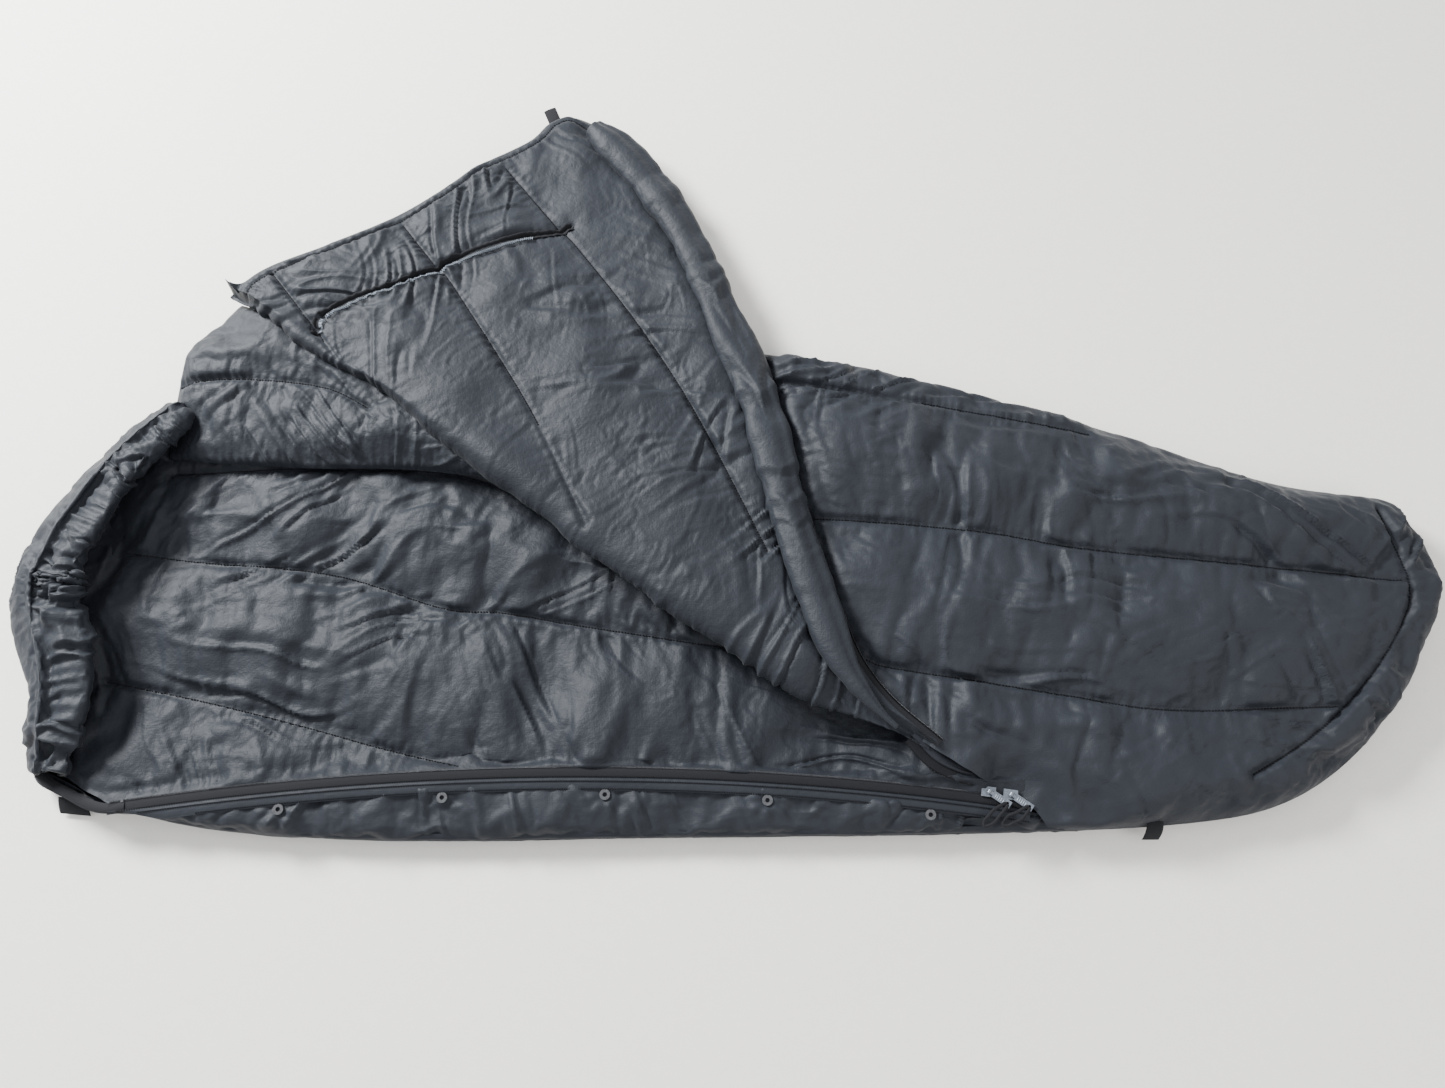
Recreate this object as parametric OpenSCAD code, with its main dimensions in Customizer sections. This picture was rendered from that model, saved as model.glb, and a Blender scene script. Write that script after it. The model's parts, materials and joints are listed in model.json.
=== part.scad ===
// Mummy sleeping bag, laid flat on its back with the zip open and the front flap folded back.
// X runs from the hood to the foot, Y from the zip side to the far side, Z up from the floor.

/* [Panels] */
// Thickness of one skin, shell or lining
skin_t = 1.5; // [1:0.5:2]
// Thickness of the padded back panel
base_h = 36; // [34:1:37]
// Height of the side edge under the zip
bolster_h = 46; // [45:1:46]
// Clear height inside the closed part
gap_h = 14; // [12:1:14]
// Height of the closed front panel's top
top_z = 75; // [72:1:75]
// Width of the padded side wall round the closed part
wall_w = 45; // [35:1:50]
// Height of the hood wall's top
hood_z = 112; // [100:1:125]
// Thickness of the padded hood wall
hood_t = 34; // [30:1:36]

/* [Flap] */
// Height of the fold line above the floor
axis_z = 79; // [79:1:80]
// Angle of the fold line from the X axis
fold_angle = -33.6; // [-34:0.1:-33]
// Downward slope of the folded-back flap
flap_slope = 5; // [4.8:0.1:5.2]
// Thickness of the padded flap
flap_t = 27; // [25:0.5:27]
// Width of the draft tube along the flap's free edge
tube_w = 46; // [40:1:50]
// Height of the draft tube above the lining
tube_h = 12.5; // [10:0.5:12.5]

/* [Zip] */
// Radius of the arc along which the zip lies
zip_r = 4400; // [4380:5:4420]
// Radius of the coil's cross section
coil_r = 1.6; // [1.4:0.1:1.7]
// Width of the zip tape
tape_w = 15; // [13:1:16]
// Thickness of the zip tape
tape_t = 0.8; // [0.6:0.1:0.9]
// Length of a zip slider
slider_l = 20; // [18:1:22]
// Width of a zip slider
slider_w = 14; // [13:1:15]
// Length of a pull tab, from its eye to its end
pull_l = 34; // [28:1:38]
// Radius of a pull tab's eye
eye_r = 2.2; // [2.1:0.1:2.4]

/* [Snaps] */
// Radius of a snap fastener
snap_r = 7.5; // [6:0.5:8]
// Height of a snap fastener
snap_h = 2.8; // [2.6:0.1:3]
// Distance between neighbouring snaps
snap_pitch = 228; // [220:1:230]

/* [Hidden] */
$fn = 48;

shell_colour = [0.13, 0.14, 0.16];
lining_colour = [0.17, 0.18, 0.2];
fill_colour = [0.85, 0.85, 0.82];
tape_colour = [0.06, 0.06, 0.07];
metal_colour = [0.55, 0.58, 0.62];
thread_colour = [0.8, 0.82, 0.86];

lining_z = base_h;
ceiling_z = base_h + gap_h;
ledge_z = bolster_h + skin_t;
clear_gap = 4;

// Where the fold line meets the zip, and the zip arc's centre and highest point
zip_end = [391, -383];
zip_top = [-200, -347];
zip_centre = zip_top - [0, zip_r];
zip_end_angle = -8.23;
zip_start_angle = 8.63;
coil_z = ledge_z + 1.5;

// The bag's outline on the floor, anticlockwise from the hood's corner at the zip
outline_points = [
    [-975, -372], [-860, -404], [-700, -434], [-450, -447], [-100, -443], [370, -437],
    [650, -424], [800, -394], [920, -318], [1010, -212], [1068, -110], [1066, -30],
    [1030, 52], [945, 72], [826, 98], [570, 191], [287, 271], [86, 312], [-200, 345],
    [-500, 352], [-720, 340], [-800, 303], [-862, 232], [-975, 97], [-1040, -40],
    [-1045, -115], [-1000, -235], [-985, -330]
];
hood_first = 22;
steps = 5;

// The flap's edge in its own plane: X along the fold line from the zip's end, Y across it
flap_edge_points = [
    [-110, 1], [-200, 14], [-275, 45], [-350, 105], [-450, 190], [-590, 325], [-730, 428],
    [-830, 500], [-915, 550], [-1026, 596], [-1130, 618], [-1190, 606], [-1212, 570],
    [-1215, 520], [-1252, 430], [-1272, 340], [-1300, 255], [-1350, 150], [-1392, 75],
    [-1405, 30], [-1400, 1]
];
free_edge_last = 10;

function blend_point(a, b, c, d, t) =
    0.5 * ((2 * b) + (c - a) * t + (2 * a - 5 * b + 4 * c - d) * t * t
           + (3 * b - a - 3 * c + d) * t * t * t);

// A smooth closed curve through the points p
function smooth_closed(p) = let (n = len(p)) [
    for (i = [0 : n - 1], j = [0 : steps - 1])
        blend_point(p[(i + n - 1) % n], p[i], p[(i + 1) % n], p[(i + 2) % n], j / steps)
];

// A smooth open curve through the points p
function smooth_open(p) = let (n = len(p)) concat([
    for (i = [0 : n - 2], j = [0 : steps - 1])
        blend_point(p[max(i - 1, 0)], p[i], p[i + 1], p[min(i + 2, n - 1)], j / steps)
], [p[n - 1]]);

function left_of(v) = [-v[1], v[0]] / norm(v);

// The curve p moved to its left by d; on a closed anticlockwise curve that is inwards
function beside_closed(p, d) = let (n = len(p)) [
    for (i = [0 : n - 1]) p[i] + d * left_of(p[(i + 1) % n] - p[(i + n - 1) % n])
];
function beside_open(p, d) = let (n = len(p)) [
    for (i = [0 : n - 1]) p[i] + d * left_of(p[min(i + 1, n - 1)] - p[max(i - 1, 0)])
];
function part_of(p, first, last) = [for (i = [first : last]) p[i % len(p)]];
function backwards(p) = [for (i = [len(p) - 1 : -1 : 0]) p[i]];

outline = smooth_closed(outline_points);
outline_in = beside_closed(outline, skin_t);
flap_edge = smooth_open(flap_edge_points);
free_edge = part_of(flap_edge, 0, free_edge_last * steps);
hood_last = (len(outline_points) - 1) * steps;
hood_line = part_of(outline, hood_first * steps, hood_last);

module plate(points, z, t) {
    translate([0, 0, z]) linear_extrude(t) polygon(points);
}

// A flat strip between two curves that run side by side
module strip(left, right, z, t) {
    plate(concat(left, backwards(right)), z, t);
}

// The plane of the flap, with its origin where the fold line meets the zip
module in_flap_plane() {
    translate([zip_end[0], zip_end[1], axis_z])
        rotate([0, 0, fold_angle]) rotate([-flap_slope, 0, 0]) children();
}

// Everything on the far side of the fold line, less the notch in which the sliders park
module beyond_fold() {
    difference() {
        translate([zip_end[0], zip_end[1], -5]) rotate([0, 0, fold_angle])
            translate([-2000, 1, 0]) cube([3000, 1500, 200]);
        at_zip(lower_angle, 8, -10) cylinder(r = notch_r, h = 220);
    }
}

// The far side between the hood and the fold line
module far_side() {
    translate([-862, 150, -5]) cube([300, 400, 200]);
}

// The room that the folded-back flap takes, with its clearance
module flap_room() {
    in_flap_plane() plate(beside_open(flap_edge, -22), -clear_gap, 200);
}

module closed_part(points, z, t) {
    intersection() {
        plate(points, z, t);
        beyond_fold();
    }
}

// The closed part where the flap lies on it, sloped to the flap's underside
module under_flap(points, z, t) {
    difference() {
        closed_part(points, z, t);
        flap_room();
    }
}

module zip_sweep(first = zip_end_angle, last = zip_start_angle) {
    translate([zip_centre[0], zip_centre[1], 0]) rotate([0, 0, 90 + first])
        rotate_extrude(angle = last - first, $fn = 240) children();
}

// The padded edge between the outline and the zip
module bolster(points, z, t) {
    intersection() {
        difference() {
            plate(points, z, t);
            beyond_fold();
        }
        translate([0, 0, z - 1]) zip_sweep(zip_end_angle - 1.2, zip_start_angle)
            translate([zip_r - 300, 0]) square([288, t + 2]);
    }
}

// The skin of a padded part, open at the top
module wall(points, z, t) {
    difference() {
        children();
        plate(points, z - 1, t + 2);
    }
}

module base_shell() color(shell_colour) union() {
    plate(outline, 0, skin_t);
    wall(outline_in, skin_t / 2, base_h) plate(outline, skin_t / 2, base_h - skin_t / 2);
}

module base_fill() color(fill_colour) plate(outline_in, skin_t, base_h - 2 * skin_t);

module base_lining() color(lining_colour) plate(outline_in, base_h - skin_t, skin_t);

module bolster_shell() color(shell_colour) union() {
    wall(outline_in, base_h, bolster_h) bolster(outline, base_h, bolster_h - base_h + skin_t);
    bolster(outline, bolster_h, skin_t);
}

module bolster_fill() color(fill_colour) bolster(outline_in, base_h, bolster_h - base_h);

module side_ring(outer, inner, z, t) {
    difference() {
        intersection() {
            plate(outer, z, t);
            union() {
                beyond_fold();
                far_side();
            }
        }
        plate(inner, z - 1, t + 2);
        flap_room();
        hood_end();
    }
}

// The room next to the hood wall's end, where the side wall stops
module hood_end() {
    line = part_of(outline, hood_first * steps, (hood_first + 2) * steps);
    strip(beside_open(line, -5), beside_open(line, wall_w + 10), base_h - 1, 100);
}

module side_shell() color(shell_colour) {
    side_ring(outline, outline_in, base_h, gap_h);
    difference() {
        closed_part(outline, ceiling_z, top_z - ceiling_z);
        plate(outline_in, ceiling_z - 1, top_z);
        flap_room();
    }
}

module side_fill() color(fill_colour)
    side_ring(outline_in, beside_closed(outline, wall_w), base_h, gap_h);

module top_shell() color(shell_colour) difference() {
    closed_part(outline_in, top_z - skin_t, skin_t);
    flap_room();
}

module top_fill() color(fill_colour) under_flap(outline_in, ceiling_z + skin_t,
    top_z - ceiling_z - 2 * skin_t);

module top_lining() color(lining_colour) under_flap(outline_in, ceiling_z, skin_t);

// The curved seam where the foot panel joins the front
module foot_seam_tape() color(shell_colour) {
    line = smooth_open([[992, 35], [1014, -78], [994, -141], [936, -215], [870, -274]]);
    strip(line, beside_open(line, 4), top_z, 1.2);
}

module hood_wall(outer, inner, z, t) {
    strip(beside_open(hood_line, outer), beside_open(hood_line, inner), z, t);
}

module hood_shell() color(shell_colour) hood_wall(0, skin_t, base_h, hood_z - base_h);

module hood_fill() color(fill_colour)
    hood_wall(skin_t, hood_t - skin_t, base_h, hood_z - base_h);

module hood_lining() color(lining_colour)
    hood_wall(hood_t - skin_t, hood_t, base_h, hood_z - base_h);

cord_w = 4;
hem_h = 12;
cord_from = hood_t / 2 - cord_w / 2;

module hood_hem() color(shell_colour) difference() {
    hood_wall(0, hood_t, hood_z, hem_h);
    hood_wall(cord_from, cord_from + cord_w, hood_z + 4, cord_w);
}

module hood_drawcord() color(tape_colour)
    hood_wall(cord_from, cord_from + cord_w, hood_z + 4, cord_w);

module zip_facing_base() color(shell_colour) zip_sweep(zip_end_angle + 0.1, zip_start_angle - 0.3)
    translate([zip_r - 30, ledge_z]) square([17, 1]);

module zip_tape_base() color(tape_colour) zip_sweep(zip_end_angle, zip_start_angle - 0.3)
    translate([zip_r - coil_r - tape_w, coil_z - 0.5]) square([tape_w + 0.3, tape_t]);

module zip_coil_base() color(tape_colour) zip_sweep(zip_end_angle, zip_start_angle - 0.3)
    translate([zip_r, coil_z]) circle(r = coil_r, $fn = 24);

// A point on the zip arc at an angle and a distance outwards from the coil
module at_zip(angle, out = 0, z = 0) {
    translate([zip_centre[0], zip_centre[1], z]) rotate([0, 0, angle])
        translate([0, zip_r - out, 0]) children();
}

module zip_bottom_stop() color(metal_colour) at_zip(zip_end_angle, 0, coil_z)
    translate([-0.2, -2, -2]) cube([4, 8, 4]);

module zip_top_stop() color(metal_colour) at_zip(zip_start_angle - 0.3, 0, coil_z)
    translate([-3.8, -2, -2]) cube([4, 4, 4]);

module snap(height) {
    difference() {
        cylinder(r = snap_r, h = height);
        translate([0, 0, -1]) cylinder(r = snap_r * 0.42, h = height + 2);
    }
}

snap_first_angle = -6.45;
snap_out = 38;
snap_step = snap_pitch / (zip_r - snap_out) * 180 / PI;

module snap_sockets() color(metal_colour)
    for (i = [0 : 4]) at_zip(snap_first_angle + i * snap_step, snap_out, ledge_z) snap(snap_h);

// Webbing folded flat and sewn into the side seam
module foot_loop() color(tape_colour) difference() {
    translate([592, -441, 24]) cube([24, 24, 3]);
    plate(outline, 0, 60);
}

module hood_tab() color(tape_colour) difference() {
    translate([-952, -408, 10]) cube([46, 30, 2.4]);
    plate(outline, 0, 60);
}

module flap_shell() color(shell_colour) in_flap_plane() plate(flap_edge, 0, skin_t);

module flap_fill() color(fill_colour) in_flap_plane()
    plate(flap_edge, skin_t, flap_t - 2 * skin_t);

module flap_lining() color(lining_colour) in_flap_plane()
    plate(flap_edge, flap_t - skin_t, skin_t);

// The free edge runs away from the zip, so the flap lies to its left
module draft_tube() color(lining_colour) in_flap_plane() intersection() {
    strip(beside_open(free_edge, 1), beside_open(free_edge, tube_w), flap_t, tube_h);
    translate([-1700, 5, 0]) cube([1550, 900, 100]);
}

binding_h = 1.5;
slit_line = smooth_open([
    [-1247, 13], [-1258, 40], [-1235, 98], [-1160, 237], [-1097, 342], [-1044, 412]
]);

module slit_binding() color(tape_colour) in_flap_plane()
    strip(beside_open(slit_line, -7), beside_open(slit_line, 5), flap_t, binding_h);

module slit_stitching() color(thread_colour) in_flap_plane()
    strip(beside_open(slit_line, 5), beside_open(slit_line, 7), flap_t, binding_h);

module zip_tape_flap() color(tape_colour) in_flap_plane()
    strip(beside_open(free_edge, -10), free_edge, 0, tape_t);

module zip_coil_flap() color(tape_colour) in_flap_plane()
    strip(beside_open(free_edge, -13), beside_open(free_edge, -10), 0, 2 * coil_r);

module snap_studs() color(metal_colour) in_flap_plane() {
    line = beside_open(free_edge, 30);
    for (i = [18, 25, 32, 40, 47]) translate([line[i][0], line[i][1], 0]) mirror([0, 0, 1]) {
        cylinder(r = snap_r, h = snap_h / 2);
        cylinder(r = snap_r * 0.4, h = snap_h);
    }
}

module flap_corner_tab() color(tape_colour) in_flap_plane() difference() {
    translate([-1170, 575, skin_t]) rotate([0, 0, 155]) cube([66, 24, 2.4]);
    plate(flap_edge, -1, flap_t);
}

// A slider in its own frame: X along the zip towards the foot, Y across it towards the flap.
// The base's coil runs along X between the two plates, beside the post at the open end.
plate_t = 2;
mouth = coil_r + 0.6;
slider_middle = 3;
post_r = 1.1;
pin_r = 1.3;
pin_z = mouth + plate_t + 3.2;
knuckle_r = 2.6;
knuckle_w = 4.6;
ear_w = 1.6;
pull_w = 10;
pull_t = 2;
pull_yaw = -27;
upper_angle = -7.47;
lower_angle = -7.87;
notch_r = 52;

module slider() {
    translate([0, slider_middle, 0]) {
        for (z = [-mouth - plate_t, mouth])
            translate([-slider_l / 2, -slider_w / 2, z]) cube([slider_l, slider_w, plate_t]);
        translate([3 - slider_l / 2, 0.2, -mouth - 0.1]) cylinder(r = post_r, h = 2 * mouth + 0.2);
        rotate([0, 0, pull_yaw]) {
            for (side = [-1, 1])
                translate([-pin_r, side * (knuckle_w / 2 + 0.2 + ear_w / 2) - ear_w / 2, mouth])
                    cube([2 * pin_r, ear_w, pin_z - mouth + pin_r]);
            translate([0, knuckle_w / 2 + ear_w, pin_z]) rotate([90, 0, 0])
                cylinder(r = pin_r, h = knuckle_w + 2 * ear_w);
        }
    }
}

// A pull tab in its slider's frame, lying flat, with its eye round the slider's pin
module pull_tab() {
    translate([0, slider_middle, pin_z]) rotate([0, 0, pull_yaw]) difference() {
        union() {
            translate([0, knuckle_w / 2, 0]) rotate([90, 0, 0])
                cylinder(r = knuckle_r, h = knuckle_w);
            translate([0, -knuckle_w / 2, -pull_t / 2]) cube([8, knuckle_w, pull_t]);
            translate([6, -pull_w / 2, -pull_t / 2]) cube([pull_l - 6, pull_w, pull_t]);
        }
        translate([0, knuckle_w, 0]) rotate([90, 0, 0])
            cylinder(r = pin_r + 0.06, h = 2 * knuckle_w);
        translate([pull_l - 5, 0, -pull_t]) cylinder(r = eye_r, h = 2 * pull_t);
    }
}

strap_w = 10;
strap_l = 58;
strap_t = 2.4;
strap_turn = -108;

// The webbing loop on a pull tab, tied through its eye
module pull_strap() {
    translate([0, slider_middle, pin_z]) rotate([0, 0, pull_yaw]) {
        translate([pull_l - 5, 0, -pull_t / 2 - 0.2]) cylinder(r = eye_r - 0.2, h = pull_t + 0.4);
        translate([pull_l - 5, 0, pull_t / 2 + 0.2]) rotate([0, 0, strap_turn])
            translate([-4, -strap_w / 2, 0]) cube([strap_l, strap_w, strap_t]);
    }
}

module slider_upper() color(metal_colour) at_zip(upper_angle, 0, coil_z) slider();
module slider_lower() color(metal_colour) at_zip(lower_angle, 0, coil_z) slider();
module pull_tab_upper() color(metal_colour) at_zip(upper_angle, 0, coil_z) pull_tab();
module pull_tab_lower() color(metal_colour) at_zip(lower_angle, 0, coil_z) pull_tab();
module pull_strap_upper() color(tape_colour) at_zip(upper_angle, 0, coil_z) pull_strap();
module pull_strap_lower() color(tape_colour) at_zip(lower_angle, 0, coil_z) pull_strap();

base_shell();
base_fill();
base_lining();
bolster_shell();
bolster_fill();
side_shell();
side_fill();
top_shell();
top_fill();
top_lining();
foot_seam_tape();
hood_shell();
hood_fill();
hood_lining();
hood_hem();
hood_drawcord();
zip_facing_base();
zip_tape_base();
zip_coil_base();
zip_bottom_stop();
zip_top_stop();
snap_sockets();
foot_loop();
hood_tab();
flap_shell();
flap_fill();
flap_lining();
draft_tube();
slit_binding();
slit_stitching();
zip_tape_flap();
zip_coil_flap();
snap_studs();
flap_corner_tab();
slider_upper();
slider_lower();
pull_tab_upper();
pull_tab_lower();
pull_strap_upper();
pull_strap_lower();
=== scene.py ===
"""Looks for a mummy sleeping bag that lies open on its back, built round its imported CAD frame."""
import json
import math

import bpy
import numpy as np
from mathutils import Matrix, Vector
from mathutils.kdtree import KDTree


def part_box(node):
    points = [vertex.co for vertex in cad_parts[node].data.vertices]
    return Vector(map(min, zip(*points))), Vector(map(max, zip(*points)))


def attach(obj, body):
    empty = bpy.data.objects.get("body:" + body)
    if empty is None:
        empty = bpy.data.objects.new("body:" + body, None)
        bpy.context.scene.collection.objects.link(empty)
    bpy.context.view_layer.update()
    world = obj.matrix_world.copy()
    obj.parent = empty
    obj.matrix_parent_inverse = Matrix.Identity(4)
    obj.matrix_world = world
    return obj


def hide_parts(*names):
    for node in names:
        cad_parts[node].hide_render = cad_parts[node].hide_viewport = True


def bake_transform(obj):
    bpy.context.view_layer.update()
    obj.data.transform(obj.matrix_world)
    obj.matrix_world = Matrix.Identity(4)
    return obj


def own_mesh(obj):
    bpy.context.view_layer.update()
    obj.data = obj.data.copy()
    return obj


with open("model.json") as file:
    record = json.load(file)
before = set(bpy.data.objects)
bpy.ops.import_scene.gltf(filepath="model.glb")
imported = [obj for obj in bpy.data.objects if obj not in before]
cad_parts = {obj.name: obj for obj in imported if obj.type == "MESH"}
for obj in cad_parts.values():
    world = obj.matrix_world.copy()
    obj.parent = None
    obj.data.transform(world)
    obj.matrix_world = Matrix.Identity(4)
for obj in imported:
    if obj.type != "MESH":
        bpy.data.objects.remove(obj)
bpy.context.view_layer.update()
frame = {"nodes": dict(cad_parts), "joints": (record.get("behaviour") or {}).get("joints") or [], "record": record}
joints = {j["name"]: j for j in frame["joints"]}

# ---------------------------------------------------------------- places read from the frame
FOLD = np.array(joints["flap_fold"]["pos_m"])
ALONG = np.array(joints["flap_fold"]["axis"])
ACROSS = np.array([-ALONG[1], ALONG[0], 0.0])
ZIP_CENTRE = np.array(joints["slider_upper_travel"]["pos_m"])
SLOPE = math.radians(5)
FLAP_UP = np.array([0, 0, math.cos(SLOPE)]) + ACROSS * math.sin(SLOPE)
FLAP_OUT = ACROSS * math.cos(SLOPE) - np.array([0, 0, math.sin(SLOPE)])
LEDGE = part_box("bolster_shell")[1].z
BACK_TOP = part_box("base_shell")[1].z
FRONT_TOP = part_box("top_shell")[1].z
COIL_Z = ZIP_CENTRE[2]
SEAM_PIN = 0.0045  # cloth this near a seam is held during the simulation
ZIP_R = 4.4  # the radius of the zip's arc


def ordered(node, centre):
    """A node's outline seen from above, as points sorted round a centre inside it."""
    co = np.array([v.co[:] for v in frame["nodes"][node].data.vertices])
    edge = co[:, 2] < co[:, 2].min() + 1e-4
    p = np.unique(np.round(co[edge, :2], 5), axis=0)
    angle = np.arctan2(p[:, 1] - centre[1], p[:, 0] - centre[0])
    return p[np.argsort(angle)]


OUTLINE = ordered("base_shell", (0.05, -0.06))


# ---------------------------------------------------------------- curves
def smooth(points, per=10):
    """A Catmull-Rom curve through points."""
    p = np.array(points, float)
    p = np.vstack([2 * p[0] - p[1], p, 2 * p[-1] - p[-2]])
    t = np.linspace(0, 1, per, endpoint=False)[:, None]
    out = [
        0.5 * (2 * b + (c - a) * t + (2 * a - 5 * b + 4 * c - d) * t**2 + (3 * b - a - 3 * c + d) * t**3)
        for a, b, c, d in zip(p, p[1:], p[2:], p[3:])
    ]
    return np.vstack(out + [p[-2]])


def resample(curve, n):
    """The curve as n points at even distances."""
    c = np.array(curve, float)
    s = np.r_[0, np.cumsum(np.linalg.norm(np.diff(c, axis=0), axis=1))]
    t = np.linspace(0, s[-1], n)
    return np.stack([np.interp(t, s, c[:, k]) for k in range(c.shape[1])], 1)


def outline_between(start, end):
    """The stretch of the outline, anticlockwise, from the point nearest start to that nearest end."""
    i = np.argmin(np.linalg.norm(OUTLINE - start, axis=1))
    j = np.argmin(np.linalg.norm(OUTLINE - end, axis=1))
    return OUTLINE[np.arange(i, j + (0 if j > i else len(OUTLINE)) + 1) % len(OUTLINE)]


def left_normals(c, closed=False):
    d = np.roll(c, -1, 0) - np.roll(c, 1, 0) if closed else np.gradient(c, axis=0)
    return np.stack([-d[:, 1], d[:, 0]], 1) / np.linalg.norm(d[:, :2], axis=1)[:, None]


def beside(c, d, closed=False):
    return c[:, :2] + left_normals(c, closed) * np.reshape(d, (-1, 1))


def zip_y(x, out=0.0):
    return ZIP_CENTRE[1] + np.sqrt((ZIP_R - out) ** 2 - (x - ZIP_CENTRE[0]) ** 2)


def fold_point(a, s):
    """Plan position of a point a along the fold and s across it."""
    return FOLD[:2] + np.multiply.outer(a, ALONG[:2]) + np.multiply.outer(s, ACROSS[:2])


def across(xy):
    return (xy - FOLD[:2]) @ ACROSS[:2]


def along(xy):
    return (xy - FOLD[:2]) @ ALONG[:2]


def distance(xy, line):
    """Distance of each point from a polyline, and the length along it to the nearest place."""
    a, b = line[:-1], line[1:]
    length = np.linalg.norm(b - a, axis=1)
    start = np.r_[0, np.cumsum(length)][:-1]
    best, where = np.full(len(xy), 9.0), np.zeros(len(xy))
    for p, q, l, s0 in zip(a, b, length, start):
        t = np.clip(((xy - p) @ (q - p)) / max(l * l, 1e-12), 0, 1)
        d = np.linalg.norm(xy - (p + t[:, None] * (q - p)), axis=1)
        nearer = d < best
        best[nearer], where[nearer] = d[nearer], (s0 + t * l)[nearer]
    return best, where


def ease(x, low=0.0, high=1.0):
    t = np.clip((x - low) / (high - low), 0, 1)
    return t * t * (3 - 2 * t)


# ---------------------------------------------------------------- noise and wrinkles
def noise(x, y, seed):
    """Smooth seeded noise from -1 to 1, one unit per cell."""
    table = np.random.default_rng(seed).uniform(-1, 1, (64, 64))
    xi, yi = np.floor(x).astype(int), np.floor(y).astype(int)
    fx, fy = ease(x - xi), ease(y - yi)

    def v(i, j):
        return table[(xi + i) % 64, (yi + j) % 64]

    return (v(0, 0) * (1 - fx) + v(1, 0) * fx) * (1 - fy) + (v(0, 1) * (1 - fx) + v(1, 1) * fx) * fy


def creases(xy, angle, length, width, seed):
    """Long narrow ridges that run along an angle and come and go: 0 between them, 1 on their crests."""
    turn = math.radians(angle)
    p = xy[:, 0] * math.cos(turn) + xy[:, 1] * math.sin(turn)
    q = -xy[:, 0] * math.sin(turn) + xy[:, 1] * math.cos(turn)
    q = q + 0.9 * width * noise(p / (0.8 * length), q / (5 * width), seed + 5)
    level = noise(p / length, q / width, seed)
    crest = np.clip(1 - 1.8 * np.abs(level - 0.16), 0, 1) ** 2
    valley = np.clip(1 - 2.6 * np.abs(level + 0.24), 0, 1) ** 1.5
    return (crest - 0.9 * valley) * ease(noise(p / (1.4 * length), q / (3.5 * width), seed + 7), -0.40, 0.35)


def puckers(d, t, pitch, reach, seed):
    """The short ridges that a stitched seam gathers on both of its sides."""
    phase = t / pitch + 0.6 * noise(t / (pitch * 3.3), t * 0, seed)
    strength = 0.65 + 0.35 * noise(t / (pitch * 2.1), t * 0 + 9, seed)
    return strength * (0.5 - 0.5 * np.cos(2 * np.pi * phase)) * np.exp(-d / reach) * ease(d, 0, reach * 0.4)


# ---------------------------------------------------------------- meshes
def mesh_object(name, verts, faces, material):
    data = bpy.data.meshes.new(name)
    data.from_pydata([tuple(v) for v in verts], [], [tuple(int(i) for i in f) for f in faces])
    data.validate()
    data.update()
    obj = bpy.data.objects.new(name, data)
    bpy.context.scene.collection.objects.link(obj)
    data.materials.append(material)
    data.shade_smooth()
    return obj


def grid_faces(rows, cols, wrap_rows=False, wrap_cols=False, first=0):
    r = np.arange(rows if wrap_rows else rows - 1)
    c = np.arange(cols if wrap_cols else cols - 1)
    r, c = np.meshgrid(r, c, indexing="ij")
    r1, c1 = (r + 1) % rows, (c + 1) % cols
    quad = np.stack([r * cols + c, r * cols + c1, r1 * cols + c1, r1 * cols + c], -1)
    return quad.reshape(-1, 4) + first


def patch(bottom, top, left, right, nu, nv):
    """A plan grid that fills four boundary curves (a Coons patch), rows running from bottom to top."""
    b, t = resample(bottom, nu), resample(top, nu)
    l, r = resample(left, nv), resample(right, nv)
    u, v = np.meshgrid(np.linspace(0, 1, nu), np.linspace(0, 1, nv))
    u, v = u[..., None], v[..., None]
    sides = (1 - v) * b[None] + v * t[None] + (1 - u) * l[:, None] + u * r[:, None]
    corners = (1 - u) * (1 - v) * b[0] + u * (1 - v) * b[-1] + (1 - u) * v * t[0] + u * v * t[-1]
    return sides - corners


def positions(obj):
    co = np.empty(len(obj.data.vertices) * 3, np.float32)
    obj.data.vertices.foreach_get("co", co)
    return co.reshape(-1, 3).astype(float)


def set_positions(obj, co):
    obj.data.vertices.foreach_set("co", co.astype(np.float32).ravel())
    obj.data.update()


def normals(obj):
    n = np.empty(len(obj.data.vertices) * 3, np.float32)
    obj.data.vertices.foreach_get("normal", n)
    return n.reshape(-1, 3).astype(float)


def puff(obj, pins, pressure=1.6, grow=0.03, frames=18, cap=0.016):
    """Cloth simulation of a quilted skin that is held at its pins, with its result put on the mesh."""
    rest = positions(obj)
    group = obj.vertex_groups.new(name="pins")
    group.add([int(i) for i in np.flatnonzero(pins)], 1.0, "REPLACE")
    mod = obj.modifiers.new("cloth", "CLOTH")
    s = mod.settings
    s.quality, s.mass, s.air_damping = 5, 0.12, 3
    s.tension_stiffness = s.compression_stiffness = 25
    s.shear_stiffness, s.bending_stiffness = 12, 0.03
    s.vertex_group_mass = "pins"
    s.shrink_min = s.shrink_max = -grow
    s.use_pressure, s.uniform_pressure_force = True, pressure
    s.effector_weights.gravity = 0
    mod.collision_settings.use_collision = False
    mod.point_cache.frame_start, mod.point_cache.frame_end = 1, frames
    scene = bpy.context.scene
    for f in range(1, frames + 1):
        scene.frame_set(f)
    held = obj.evaluated_get(bpy.context.evaluated_depsgraph_get())
    co = np.array([v.co[:] for v in held.data.vertices])
    obj.modifiers.remove(mod)
    obj.vertex_groups.remove(group)
    scene.frame_set(1)
    move = co - rest
    size = np.linalg.norm(move, axis=1, keepdims=True)
    set_positions(obj, rest + move * np.minimum(1, cap / np.maximum(size, 1e-9)))


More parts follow.
